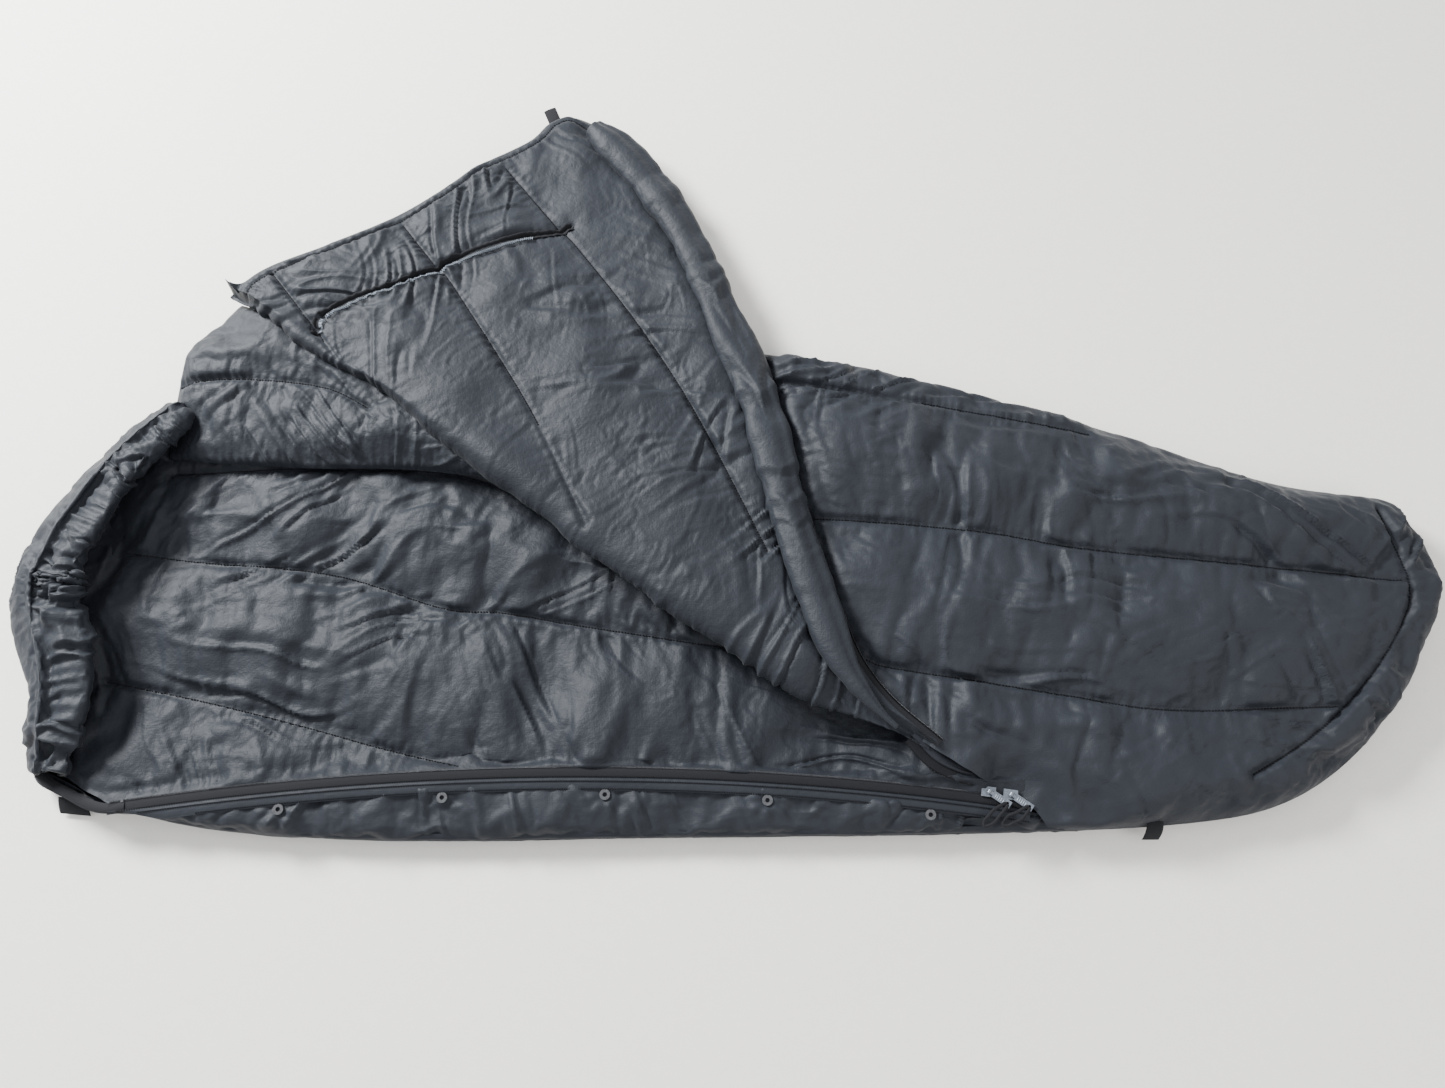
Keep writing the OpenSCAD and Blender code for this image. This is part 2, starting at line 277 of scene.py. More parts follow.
def subdivide(obj, levels=1):
    mod = obj.modifiers.new("subdivision", "SUBSURF")
    mod.levels = mod.render_levels = levels
    mod.boundary_smooth = "PRESERVE_CORNERS"
    held = obj.evaluated_get(bpy.context.evaluated_depsgraph_get())
    data = bpy.data.meshes.new_from_object(held)
    obj.modifiers.remove(mod)
    old, obj.data = obj.data, data
    bpy.data.meshes.remove(old)
    obj.data.shade_smooth()


# ---------------------------------------------------------------- materials
def material(name, build):
    m = bpy.data.materials.new(name)
    m.use_nodes = True
    tree = m.node_tree
    shader = tree.nodes["Principled BSDF"]
    build(tree, shader)
    return m


def node(tree, kind, **inputs):
    n = tree.nodes.new(kind)
    for key, value in inputs.items():
        n.inputs[key.replace("_", " ")].default_value = value
    return n


def ramp(tree, source, dark, light, start=0.0, stop=1.0):
    """A colour ramp that a texture drives."""
    n = tree.nodes.new("ShaderNodeValToRGB")
    low, high = n.color_ramp.elements
    low.position, high.position = start, stop
    low.color, high.color = (*dark, 1), (*light, 1)
    tree.links.new(source.outputs["Fac"], n.inputs["Fac"])
    return n.outputs["Color"]


def nylon(dark, light, roughness, sheen, crinkle=0.5):
    """Woven nylon taffeta: fine threads, small crinkles, and patches where the cloth has rubbed."""

    def build(tree, shader):
        link = tree.links.new
        place = tree.nodes.new("ShaderNodeTexCoord").outputs["Object"]
        worn = node(tree, "ShaderNodeTexNoise", Scale=5.0, Detail=6.0, Roughness=0.65)
        fine = node(tree, "ShaderNodeTexNoise", Scale=95.0, Detail=5.0, Roughness=0.6)
        warp = node(tree, "ShaderNodeTexWave", Scale=130.0)
        weft = node(tree, "ShaderNodeTexWave", Scale=130.0)
        weft.bands_direction = "Y"
        for n in (worn, fine, warp, weft):
            link(place, n.inputs["Vector"])
        link(ramp(tree, worn, dark, light, 0.3, 0.75), shader.inputs["Base Color"])
        rough = node(tree, "ShaderNodeMapRange", To_Min=roughness - 0.06, To_Max=roughness + 0.1)
        link(fine.outputs["Fac"], rough.inputs["Value"])
        link(rough.outputs["Result"], shader.inputs["Roughness"])
        threads = tree.nodes.new("ShaderNodeMath")
        link(warp.outputs["Fac"], threads.inputs[0])
        link(weft.outputs["Fac"], threads.inputs[1])
        b1 = node(tree, "ShaderNodeBump", Strength=0.10, Distance=0.0003)
        b2 = node(tree, "ShaderNodeBump", Strength=crinkle, Distance=0.0022)
        link(threads.outputs[0], b1.inputs["Height"])
        link(fine.outputs["Fac"], b2.inputs["Height"])
        link(b1.outputs["Normal"], b2.inputs["Normal"])
        link(b2.outputs["Normal"], shader.inputs["Normal"])
        shader.inputs["Sheen Weight"].default_value = sheen
        shader.inputs["Sheen Roughness"].default_value = 0.45
        shader.inputs["Specular IOR Level"].default_value = 0.21

    return build


def webbing(colour, pitch, roughness=0.75):
    """Ribbed narrow fabric, such as tape, binding, webbing and cord."""

    def build(tree, shader):
        link = tree.links.new
        place = tree.nodes.new("ShaderNodeTexCoord").outputs["Object"]
        ribs = node(tree, "ShaderNodeTexWave", Scale=0.31 / pitch, Distortion=0.8)
        ribs.bands_direction = "DIAGONAL"
        fuzz = node(tree, "ShaderNodeTexNoise", Scale=420.0, Detail=4.0)
        for n in (ribs, fuzz):
            link(place, n.inputs["Vector"])
        dark, light = [c * 0.55 for c in colour], [min(1, c * 1.5) for c in colour]
        link(ramp(tree, fuzz, dark, light), shader.inputs["Base Color"])
        bump = node(tree, "ShaderNodeBump", Strength=0.6, Distance=0.0005)
        link(ribs.outputs["Fac"], bump.inputs["Height"])
        link(bump.outputs["Normal"], shader.inputs["Normal"])
        shader.inputs["Roughness"].default_value = roughness
        shader.inputs["Specular IOR Level"].default_value = 0.2

    return build


def metal(colour, roughness, metallic):
    """Painted or bare metal with fine scuffs and a duller worn patch here and there."""

    def build(tree, shader):
        link = tree.links.new
        place = tree.nodes.new("ShaderNodeTexCoord").outputs["Object"]
        scuff = node(tree, "ShaderNodeTexNoise", Scale=260.0, Detail=8.0, Roughness=0.7)
        link(place, scuff.inputs["Vector"])
        dark, light = [c * 0.75 for c in colour], [min(1, c * 1.35) for c in colour]
        link(ramp(tree, scuff, dark, light, 0.35, 0.7), shader.inputs["Base Color"])
        rough = node(tree, "ShaderNodeMapRange", To_Min=roughness - 0.08, To_Max=roughness + 0.15)
        link(scuff.outputs["Fac"], rough.inputs["Value"])
        link(rough.outputs["Result"], shader.inputs["Roughness"])
        bump = node(tree, "ShaderNodeBump", Strength=0.15, Distance=0.0002)
        link(scuff.outputs["Fac"], bump.inputs["Height"])
        link(bump.outputs["Normal"], shader.inputs["Normal"])
        shader.inputs["Metallic"].default_value = metallic

    return build


SHELL = material("shell_nylon", nylon((0.0098, 0.0113, 0.0152), (0.0138, 0.0158, 0.0207), 0.57, 0.035))
LINING = material("lining_nylon", nylon((0.0088, 0.0103, 0.0140), (0.0124, 0.0143, 0.0189), 0.57, 0.035, 0.7))
TAPE = material("zip_tape", webbing((0.0065, 0.0065, 0.0080), 0.0009))
WEB = material("webbing", webbing((0.0080, 0.0080, 0.0095), 0.0016, 0.85))
THREAD = material("thread", webbing((0.0035, 0.0035, 0.0045), 0.0006, 0.9))
PALE_THREAD = material("pale_thread", webbing((0.30, 0.33, 0.38), 0.0006, 0.85))
COIL = material("zip_coil", metal((0.020, 0.020, 0.023), 0.38, 0.0))
SNAP = material("snap_black", metal((0.11, 0.11, 0.115), 0.25, 0.85))
SLIDER = material("slider_grey", metal((0.16, 0.175, 0.20), 0.36, 0.75))


# ---------------------------------------------------------------- quilted panels
def crown(xy, seams, height, width=0.06):
    """How far the padding stands above the seams, from 0 on a seam to height well away from one."""
    gap = np.full(len(xy), 9.0)
    for line in seams:
        gap = np.minimum(gap, distance(xy, line)[0])
    return height * (1 - np.exp(-((gap / width) ** 1.3))), gap


def wrinkle(obj, seams, to_plan, amount=1.0, seed=1, pitch=0.013, fine=0.0011, lean=62, keep=None):
    """Moves a panel's vertices along their normals: seam puckers, tension creases and small crinkles."""
    co = positions(obj)
    xy = to_plan(co)
    move = np.zeros(len(co))
    near = np.full(len(co), 9.0)
    for k, line in enumerate(seams):
        d, t = distance(xy, line)
        near = np.minimum(near, d)
        move += 0.0042 * puckers(d, t, pitch, 0.011, seed + k)
        move += 0.0022 * puckers(d, t, pitch * 2.7, 0.034, seed + k + 40)
        move -= 0.0042 * np.exp(-((d / 0.0050) ** 2))
    tension = 0.62 + 0.38 * np.exp(-near / 0.06)
    reach = ease(near, 0.0, 0.012)
    families = ((0, 0.15, 0.026, 0.0125), (-30, 0.13, 0.022, 0.0105), (27, 0.14, 0.028, 0.0112),
                (-62, 0.12, 0.024, 0.0092), (58, 0.11, 0.020, 0.0082))
    share = np.array([np.exp(5 * noise(xy[:, 0] * 4.6, xy[:, 1] * 4.6, seed + 60 + k))
                      for k in range(len(families))])
    share /= share.sum(axis=0)
    for k, (turn, length, width, high) in enumerate(families):
        move += high * tension * share[k] * reach * creases(xy, lean + turn, length, width, seed + 11 + k)
    move += 0.0060 * reach * noise(xy[:, 0] * 17, xy[:, 1] * 17, seed + 31)
    move += fine * creases(xy, lean + 20, 0.034, 0.0095, seed + 24)
    move *= amount
    if keep is not None:
        move *= keep(xy)
    set_positions(obj, co + normals(obj) * move[:, None])


def in_plan(co):
    return co[:, :2]


def stitches(name, line, height, body, pitch=0.0046):
    """A row of sewn stitches along a plan line, each a short low loop of thread that dips at both ends."""
    line = resample(line, max(3, int(np.linalg.norm(np.diff(line, axis=0), axis=1).sum() / pitch) * 2 + 1))
    verts, faces = [], []
    ring, hoops, radius, lift = 6, 5, 0.00075, 0.0010
    for p, q in zip(line[0:-1:2], line[1::2]):
        z = height(np.array([p, q]))
        a, b = np.array([*p, z[0]]), np.array([*q, z[1]])
        d = (b - a) / max(np.linalg.norm(b - a), 1e-9)
        side = np.array([-d[1], d[0], 0]) / max(np.hypot(d[0], d[1]), 1e-9)
        up = np.cross(d, side)
        first = len(verts)
        for t in np.linspace(0, 1, hoops):
            rise = lift + radius * 1.4 * math.sin(math.pi * t) - radius
            centre = a + (b - a) * (-0.15 + 1.3 * t) + up * rise
            for k in range(ring):
                turn = 2 * math.pi * k / ring
                verts.append(centre + radius * (math.cos(turn) * side + math.sin(turn) * up))
        faces += list(grid_faces(hoops, ring, wrap_cols=True, first=first))
    obj = mesh_object(name, verts, faces, THREAD)
    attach(obj, body)


def surface_height(obj, to_plan=in_plan):
    """A lookup of a panel's height at plan points, from its nearest vertices."""
    co = positions(obj)
    xy = to_plan(co)
    tree = KDTree(len(co))
    for i, p in enumerate(xy):
        tree.insert((p[0], p[1], 0), i)
    tree.balance()

    def look(points):
        out = []
        for p in points:
            found = tree.find_n((p[0], p[1], 0), 3)
            w = np.array([1 / (f[2] + 1e-5) for f in found])
            out.append((co[[f[1] for f in found], 2] * w).sum() / w.sum())
        return np.array(out)

    return look


# The zip's corners, and the boundaries that the panels share
ZIP_LEFT, ZIP_RIGHT = -0.858, 0.428
ZIP_END = np.array([0.405, -0.392])
zip_line = np.array([[x, zip_y(x, 0.002)] for x in np.linspace(ZIP_LEFT, ZIP_RIGHT, 60)])
hood_outline = outline_between((-0.862, 0.232), (-0.978, -0.362))

# -- the back panel's lining, seen through the opening
lining_bottom = np.vstack([[[-0.950, -0.352], [-0.905, -0.376]], zip_line, [[0.47, -0.392]]])
lining_top = smooth([(-0.875, 0.165), (-0.76, 0.27), (-0.60, 0.30), (-0.30, 0.24), (0.10, -0.02),
                     (0.47, -0.24)])
lining_left = np.vstack([[[-0.950, -0.352]], beside(hood_outline, 0.03)[::-1][4:-4], [[-0.875, 0.165]]])
lining_right = np.array([[0.47, -0.392], [0.47, -0.24]])
seam_low = smooth([(-0.908, -0.221), (-0.757, -0.251), (-0.608, -0.287), (-0.489, -0.319), (-0.373, -0.346)])
seam_mid = smooth([(-0.914, -0.023), (-0.79, -0.038), (-0.676, -0.046), (-0.568, -0.062), (-0.421, -0.109),
                   (-0.331, -0.116), (-0.19, -0.140), (-0.048, -0.162), (0.04, -0.177), (0.30, -0.24)])
seam_high = smooth([(-0.859, 0.108), (-0.611, 0.116), (-0.44, 0.11), (-0.329, 0.083), (-0.10, 0.02)])
lining_seams = [seam_low, seam_mid, seam_high]


def make_back_lining():
    plan = patch(lining_bottom, lining_top, lining_left, lining_right, 184, 82)
    xy = plan.reshape(-1, 2)
    rise, gap = crown(xy, lining_seams, 0.015)
    to_zip = xy[:, 1] - zip_y(xy[:, 0])
    z = 0.024 + rise + 0.004 * noise(xy[:, 0] * 7, xy[:, 1] * 7, 3)
    z = np.maximum(z, 0.0375 * np.exp(-to_zip / 0.020) + 0.010)
    z = z + (COIL_Z - 0.0015 - z) * np.exp(-((np.maximum(to_zip, 0) / 0.009) ** 2))
    obj = mesh_object("back_lining_cloth", np.c_[xy, z], grid_faces(82, 184), LINING)
    edge = np.zeros((82, 184), bool)
    edge[[0, -1]] = edge[:, [0, -1]] = True
    puff(obj, edge.ravel() | (gap < SEAM_PIN), pressure=1.4, grow=0.035, cap=0.015)
    subdivide(obj)
    wrinkle(obj, lining_seams + [zip_line], in_plan, seed=20, lean=58,
            keep=lambda p: ease(p[:, 1] - zip_y(p[:, 0]), 0.001, 0.014))
    return obj


back_lining = make_back_lining()
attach(back_lining, "bag")
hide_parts("base_lining", "base_fill", "top_lining", "side_fill")
height = surface_height(back_lining)
for i, line in enumerate(lining_seams):
    stitches(f"back_lining_stitches_{i}", line, height, "bag")

# -- the zip-side panel, below the zip, with its snaps
side_bottom = outline_between((-0.975, -0.372), (0.50, -0.431))
side_top = np.vstack([[[-0.968, -0.352], [-0.920, -0.372], [-0.885, -0.392]],
                      [[x, zip_y(x, 0.016)] for x in np.linspace(-0.858, 0.455, 60)]])


snap_places = [np.array(m["pos_m"]) for m in frame["record"]["mounts"] if m["name"].startswith("snap")]


def make_side_panel():
    nu, nv = 190, 20
    plan = patch(side_bottom, side_top, np.array([side_bottom[0], side_top[0]]),
                 np.array([side_bottom[-1], side_top[-1]]), nu, nv)
    v = np.linspace(0, 1, nv)[:, None] * np.ones(nu)
    u = np.linspace(0, 1, nu)[None] * np.ones((nv, 1))
    ends = ease(u, 0, 0.10)
    z = 0.020 + (LEDGE - 0.020) * (1 - (1 - v) ** 3) ** (1 / 2.2)
    z = (z - 0.0015) * (0.55 + 0.45 * ends)
    xy = plan.reshape(-1, 2)
    obj = mesh_object("side_panel_cloth", np.c_[xy, z.ravel()], grid_faces(nv, nu), SHELL)
    pins = np.zeros((nv, nu), bool)
    pins[[0, -1]] = pins[:, [0, -1]] = True
    puff(obj, pins.ravel(), pressure=1.0, grow=0.03, cap=0.006)
    subdivide(obj)

    def calm(p):
        low_edge = 0.12 + 0.88 * ease(distance(p, side_bottom)[0], 0.0, 0.022)
        return ease(distance(p, side_top)[0], 0.0, 0.008) * low_edge

    wrinkle(obj, [side_top], in_plan, amount=0.9, seed=60, lean=78, pitch=0.016, keep=calm)
    co = positions(obj)
    for place in snap_places:
        d = np.hypot(*(co[:, :2] - place[:2]).T)
        turn = np.arctan2(*(co[:, :2] - place[:2]).T)
        seat = LEDGE + 0.0004 - co[:, 2]
        co[:, 2] += (seat - 0.0012) * np.exp(-((d / 0.0125) ** 4))
        co[:, 2] += 0.0013 * np.cos(turn * 7 + place[0] * 40) * np.exp(-(((d - 0.021) / 0.009) ** 2))
    set_positions(obj, co)
    return obj


side_panel = make_side_panel()
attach(side_panel, "bag")
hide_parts("bolster_shell", "bolster_fill")

# -- the closed front panel, from the fold to the foot
front_bottom = np.vstack([
    [fold_point(a, -0.004) for a in np.linspace(-1.27, -0.05, 60)],
    [[0.405, -0.384], [0.432, -0.402], [0.452, -0.430]],
    outline_between((0.48, -0.432), (0.92, -0.318)),
])
front_right = outline_between((0.92, -0.318), (1.03, 0.052))
front_top = np.vstack([[[-0.655, 0.338]], outline_between((1.03, 0.052), (-0.62, 0.348))[::-1]])
front_left = np.array([front_bottom[0], front_top[0]])
seam_a = smooth([(-0.10, 0.262), (0.097, 0.246), (0.275, 0.217), (0.367, 0.200), (0.6, 0.15), (0.99, 0.03)])
seam_b = smooth([(0.0, 0.024), (0.138, 0.02), (0.265, 0.012), (0.412, -0.004), (0.543, -0.028),
                 (0.762, -0.051), (1.006, -0.078)])
seam_c = smooth([(0.10, -0.172), (0.197, -0.193), (0.239, -0.207), (0.380, -0.229), (0.505, -0.250),
                 (0.644, -0.269), (0.877, -0.264)])
seam_foot = smooth([(0.992, 0.035), (1.014, -0.078), (0.994, -0.141), (0.936, -0.215), (0.875, -0.274),
                    (0.811, -0.320), (0.74, -0.36)])
front_seams = [seam_a[:40], seam_b, seam_c, seam_foot]
FLAP_EDGE = [
    (-0.110, 0.001), (-0.200, 0.014), (-0.275, 0.045), (-0.350, 0.105), (-0.450, 0.190), (-0.590, 0.325),
    (-0.730, 0.428), (-0.830, 0.500), (-0.915, 0.550), (-1.026, 0.596), (-1.130, 0.618), (-1.190, 0.606),
    (-1.212, 0.570), (-1.215, 0.520), (-1.252, 0.430), (-1.272, 0.340), (-1.300, 0.255), (-1.350, 0.150),
    (-1.392, 0.075), (-1.405, 0.030), (-1.400, 0.001),
]
free_edge = smooth(FLAP_EDGE[:11])
neck_edge = smooth(FLAP_EDGE[10:])


def make_front():
    nu, nv = 232, 72
    plan = patch(front_bottom, front_top, front_left, front_right, nu, nv)
    xy = plan.reshape(-1, 2)
    rise, gap = crown(xy, front_seams, 0.013, 0.07)
    rim, _ = distance(xy, np.vstack([OUTLINE, OUTLINE[:1]]))
    t = np.clip(rim / 0.085, 0, 1)
    z = 0.030 + (FRONT_TOP - 0.030) * (1 - (1 - t) ** 2.4) ** (1 / 2.0)
    z = z + (rise - 0.010) * ease(rim, 0.0, 0.09)
    s, a = across(xy), along(xy)
    under = FOLD[2] - 0.010 - 0.0875 * s
    free_s = np.interp(a, free_edge[::-1, 0], free_edge[::-1, 1])
    covered = ease(free_s - s, -0.045, 0.03) * ease(-a, 0.06, 0.16)
    covered = np.where(a < -1.13, 1.0, covered)
    z = np.minimum(z, z + (under - z) * covered)
    end = np.linalg.norm(xy - ZIP_END, axis=1)
    z = 0.047 + (z - 0.047) * ease(end, 0.010, 0.085)
    obj = mesh_object("front_panel_cloth", np.c_[xy, z], grid_faces(nv, nu), SHELL)
    edge = np.zeros((nv, nu), bool)
    edge[[0, -1]] = edge[:, [0, -1]] = True
    puff(obj, edge.ravel() | (gap < SEAM_PIN) | (covered > 0.9), pressure=1.5, grow=0.032, cap=0.016)
    subdivide(obj)

    def keep(p):
        return ease(distance(p, OUTLINE)[0], 0.0, 0.02) * ease(np.linalg.norm(p - ZIP_END, axis=1), 0.0, 0.05)

    wrinkle(obj, front_seams, in_plan, amount=1.15, seed=90, lean=-38, keep=keep)
    return obj


front = make_front()
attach(front, "bag")
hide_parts("top_shell", "top_fill", "side_shell", "foot_seam_tape")
height = surface_height(front)
for i, line in enumerate((seam_b, seam_c, seam_foot, seam_a[:40])):
    shown = (along(line) > -0.66 + 0.4 * (i == 3)) | (across(line) > 0.45)
    stitches(f"front_stitches_{i}", line[shown], height, "bag")


# -- the back shell: from the side seam round to the floor
def make_back_shell():
    ring = resample(np.vstack([OUTLINE, OUTLINE[:1]]), 521)[:-1]
    sections = [(0.010, 0.0335), (0.002, 0.031), (0.0, 0.026), (0.0, 0.018), (0.003, 0.010), (0.010, 0.004),
                (0.022, 0.0012), (0.05, 0.0006)]
    verts = []
    step, still = np.arange(520), np.zeros(520)
    wave = 0.0018 * noise(step / 6.5, still, 31) + 0.0012 * noise(step / 2.6, still, 32)
    for k, (inset, z) in enumerate(sections):
        p = beside(ring, inset + np.abs(wave) * (1 if 0 < k < 6 else 0), closed=True)
        verts.append(np.c_[p, np.full(520, z) + (wave if 0 < k < 5 else 0)])
    centre = np.c_[np.clip(ring[:, 0], -0.75, 0.8), np.full(520, -0.05)]
    inner = verts[-1][:, :2]
    for k in np.linspace(0.15, 1, 6):
        verts.append(np.c_[inner + (centre - inner) * k, np.full(520, 0.0006 + 0.0006 * k)])
    faces = grid_faces(len(verts), 520, wrap_cols=True)
    return mesh_object("back_shell_cloth", np.vstack(verts), faces, SHELL)


back_shell = make_back_shell()
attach(back_shell, "bag")
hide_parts("base_shell")


# ---------------------------------------------------------------- the flap, in its own plane
def flap_world(a, s, h):
    """World positions of points in the flap's plane: a along the fold, s across it, h above its underside."""
    a, s, h = (np.asarray(v, float)[..., None] for v in (a, s, h))
    return FOLD + a * ALONG + s * FLAP_OUT + h * FLAP_UP


def flap_plane(co):
    """The flap-plane (a, s) of world positions."""
    d = co - FOLD
    return np.c_[d @ ALONG, d @ FLAP_OUT]


flap_rim = np.vstack([free_edge, neck_edge[1:]])
flap_low = smooth([(-1.383, 0.060), (-1.249, 0.017), (-1.187, -0.004)])
flap_mid = smooth([(-1.274, 0.253), (-1.164, 0.215), (-1.135, 0.208), (-0.903, 0.103), (-0.705, -0.010)])
flap_high = smooth([(-1.207, 0.443), (-1.079, 0.401), (-1.021, 0.386), (-0.844, 0.318), (-0.669, 0.232),
                    (-0.46, 0.105)])
slit = smooth([(-1.247, 0.013), (-1.260, 0.037), (-1.235, 0.098), (-1.199, 0.154), (-1.160, 0.237),
               (-1.137, 0.286), (-1.097, 0.342), (-1.059, 0.387), (-1.044, 0.412)])
flap_seams = [flap_low, flap_mid, flap_high]
hem_seam = beside(neck_edge, 0.018)


def roll_out(a):
    """How far the folded lining stands out past the fold line, less at both ends."""
    swell = 0.75 + 0.25 * np.cos((a + 0.45) * 5.0)
    out = 0.005 + 0.035 * ease(a, -1.12, -0.80) * swell + 0.004 * noise(a * 9, a * 0, 77)
    return out * foot_taper(a)


def foot_taper(a):
    """The roll's share of its full size: slim at its foot end and at the hood."""
    return (0.16 + 0.84 * ease(-a, 0.11, 0.34)) * (1 - 0.75 * ease(-a, 1.27, 1.42))


def make_flap_lining():
    nu, roll_rows, rows = 210, 13, 76
    rim = resample(flap_rim, nu)
    # columns run from the fold to the rim, fanned a little towards the hood
    foot_a = np.linspace(-0.118, -1.425, nu)
    v = np.linspace(0, 1, rows)[:, None]
    foot = np.stack([foot_a, np.full(nu, 0.004)], 1)
    plan = foot[None] * (1 - v[..., None]) + rim[None] * v[..., None]
    xy = plan.reshape(-1, 2)
    edge_gap, _ = distance(xy, flap_rim)
    rise, gap = crown(xy, flap_seams, 0.012, 0.065)
    slit_gap, _ = distance(xy, slit)
    h = 0.017 + rise + 0.003 * noise(xy[:, 0] * 6, xy[:, 1] * 6, 12)
    h = h - 0.006 * np.exp(-((slit_gap / 0.016) ** 2))
    h = 0.007 + (h - 0.007) * np.sqrt(1 - (1 - np.clip(edge_gap / 0.055, 0, 1)) ** 2)
    tube_gap, _ = distance(xy, beside(free_edge, 0.022))
    h = h - np.maximum(h - 0.011, 0) * np.exp(-((tube_gap / 0.030) ** 3))
    top = flap_world(xy[:, 0], xy[:, 1], h).reshape(rows, nu, 3)
    # the roll: from under the front panel, round the fold and up on to the flap
    out = roll_out(foot_a)
    start = np.stack([across(top[0, :, :2]), top[0, :, 2] - FOLD[2]], 1)
    roll = []
    for t in np.linspace(0, 1, roll_rows, endpoint=False):
        turn = math.pi * (1.5 - t)
        s = -out * 0.1 + (out * 0.95 + 0.004) * math.cos(turn) * (1 if t > 0 else 0.4)
        z = -0.004 + 0.027 * math.sin(turn) * foot_taper(foot_a)
        s = s + (start[:, 0] - 0.002) * max(0, t - 0.75) * 3
        z = z + (start[:, 1] - 0.023) * ease(np.array(t), 0.4, 1.0)
        p = FOLD + np.outer(foot_a, ALONG) + np.outer(np.full(nu, 1.0) * s, ACROSS)
        p[:, 2] += z
        p[:, 2] += (np.minimum(p[:, 2], 0.060) - p[:, 2]) * ease(-foot_a, 1.36, 1.425)
        roll.append(p)
    under = FOLD + np.outer(foot_a, ALONG) + np.outer(np.full(nu, 0.05), ACROSS)
    under[:, 2] = BACK_TOP + 0.008
    end = ease(-foot_a, 1.20, 1.40)[:, None]
    under = under * (1 - end) + (roll[0] - (0, 0, 0.004)) * end
    grid = np.stack([under, *roll, *top])
    obj = mesh_object("flap_lining_cloth", grid.reshape(-1, 3), grid_faces(len(grid), nu), LINING)
    # the columns run towards the hood, so the faces are turned to look outwards
    obj.data.flip_normals()
    n = len(grid)
    edge = np.zeros((n, nu), bool)
    edge[[0, 1, -1]] = edge[:, [0, -1]] = True
    pins = edge
    pins[roll_rows + 1:] |= (gap < SEAM_PIN).reshape(rows, nu)
    puff(obj, pins.ravel(), pressure=1.3, grow=0.034, cap=0.015)
    subdivide(obj)

    def keep(p):
        return ease(distance(p, flap_rim)[0], 0.0, 0.02)

    wrinkle(obj, flap_seams + [hem_seam, slit], flap_plane, seed=140, lean=70, keep=keep)
    return obj


flap_lining = make_flap_lining()
flap_height = surface_height(flap_lining)


def on_flap(line, lift=0.0):
    """World positions of a line in the flap's plane, laid on the flap's lining."""
    flat = flap_world(line[:, 0], line[:, 1], np.zeros(len(line)))
    for _ in range(2):
        z = flap_height(flat)
        over = z - (FOLD[2] - math.sin(SLOPE) * line[:, 1])
        flat = flap_world(line[:, 0], line[:, 1], over / math.cos(SLOPE) + lift)
    return flat


for i, line in enumerate((flap_low[:-6], flap_mid[:-8], flap_high, hem_seam)):
    plan = on_flap(line)[:, :2]
    stitches(f"flap_stitches_{i}", plan, flap_height, "flap")
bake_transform(flap_lining)
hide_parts("flap_lining", "flap_fill")


def make_flap_shell():
    """The flap's outer side, which lies underneath, with its quilting hanging down a little."""
    nu, rows = 150, 44
    rim = resample(flap_rim, nu)
    foot = np.stack([np.linspace(-0.118, -1.41, nu), np.full(nu, 0.004)], 1)
    v = np.linspace(0, 1, rows)[:, None]
    xy = (foot[None] * (1 - v[..., None]) + rim[None] * v[..., None]).reshape(-1, 2)
    edge_gap, _ = distance(xy, flap_rim)
    rise, _ = crown(xy, flap_seams, 0.006, 0.06)
    h = 0.007 - (0.0045 + rise) * np.sqrt(1 - (1 - np.clip(edge_gap / 0.05, 0, 1)) ** 2)
    h = h * np.where(xy[:, 1] < 0.03, 0.9, 1.0)
    obj = mesh_object("flap_shell_cloth", flap_world(xy[:, 0], xy[:, 1], h), grid_faces(rows, nu), SHELL)
    subdivide(obj)
    wrinkle(obj, flap_seams, flap_plane, amount=0.45, seed=190, lean=-60,
            keep=lambda p: ease(distance(p, flap_rim)[0], 0.0, 0.02) * ease(p[:, 1], 0.0, 0.03))
    return obj


flap_shell = make_flap_shell()
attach(flap_shell, "flap")
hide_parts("flap_shell")


def sweep(name, centre, across_dir, up_dir, section, cloth):
    """A tube whose section (side, up) is a function of the fraction along it and the turn round it."""
    n, ring = len(centre), 30
    turn = np.linspace(0, 2 * np.pi, ring, endpoint=False)
    rings = []
    for i, (c, side, up) in enumerate(zip(centre, across_dir, up_dir)):
        x, z = section(i / (n - 1), turn)
        rings.append(c + np.outer(x, side) + np.outer(z, up))
    verts = np.vstack(rings)
    faces = [tuple(f) for f in grid_faces(n, ring, wrap_cols=True)]
    faces += [tuple(range(ring))[::-1], tuple(range((n - 1) * ring, n * ring))]
    return mesh_object(name, verts, faces, cloth)


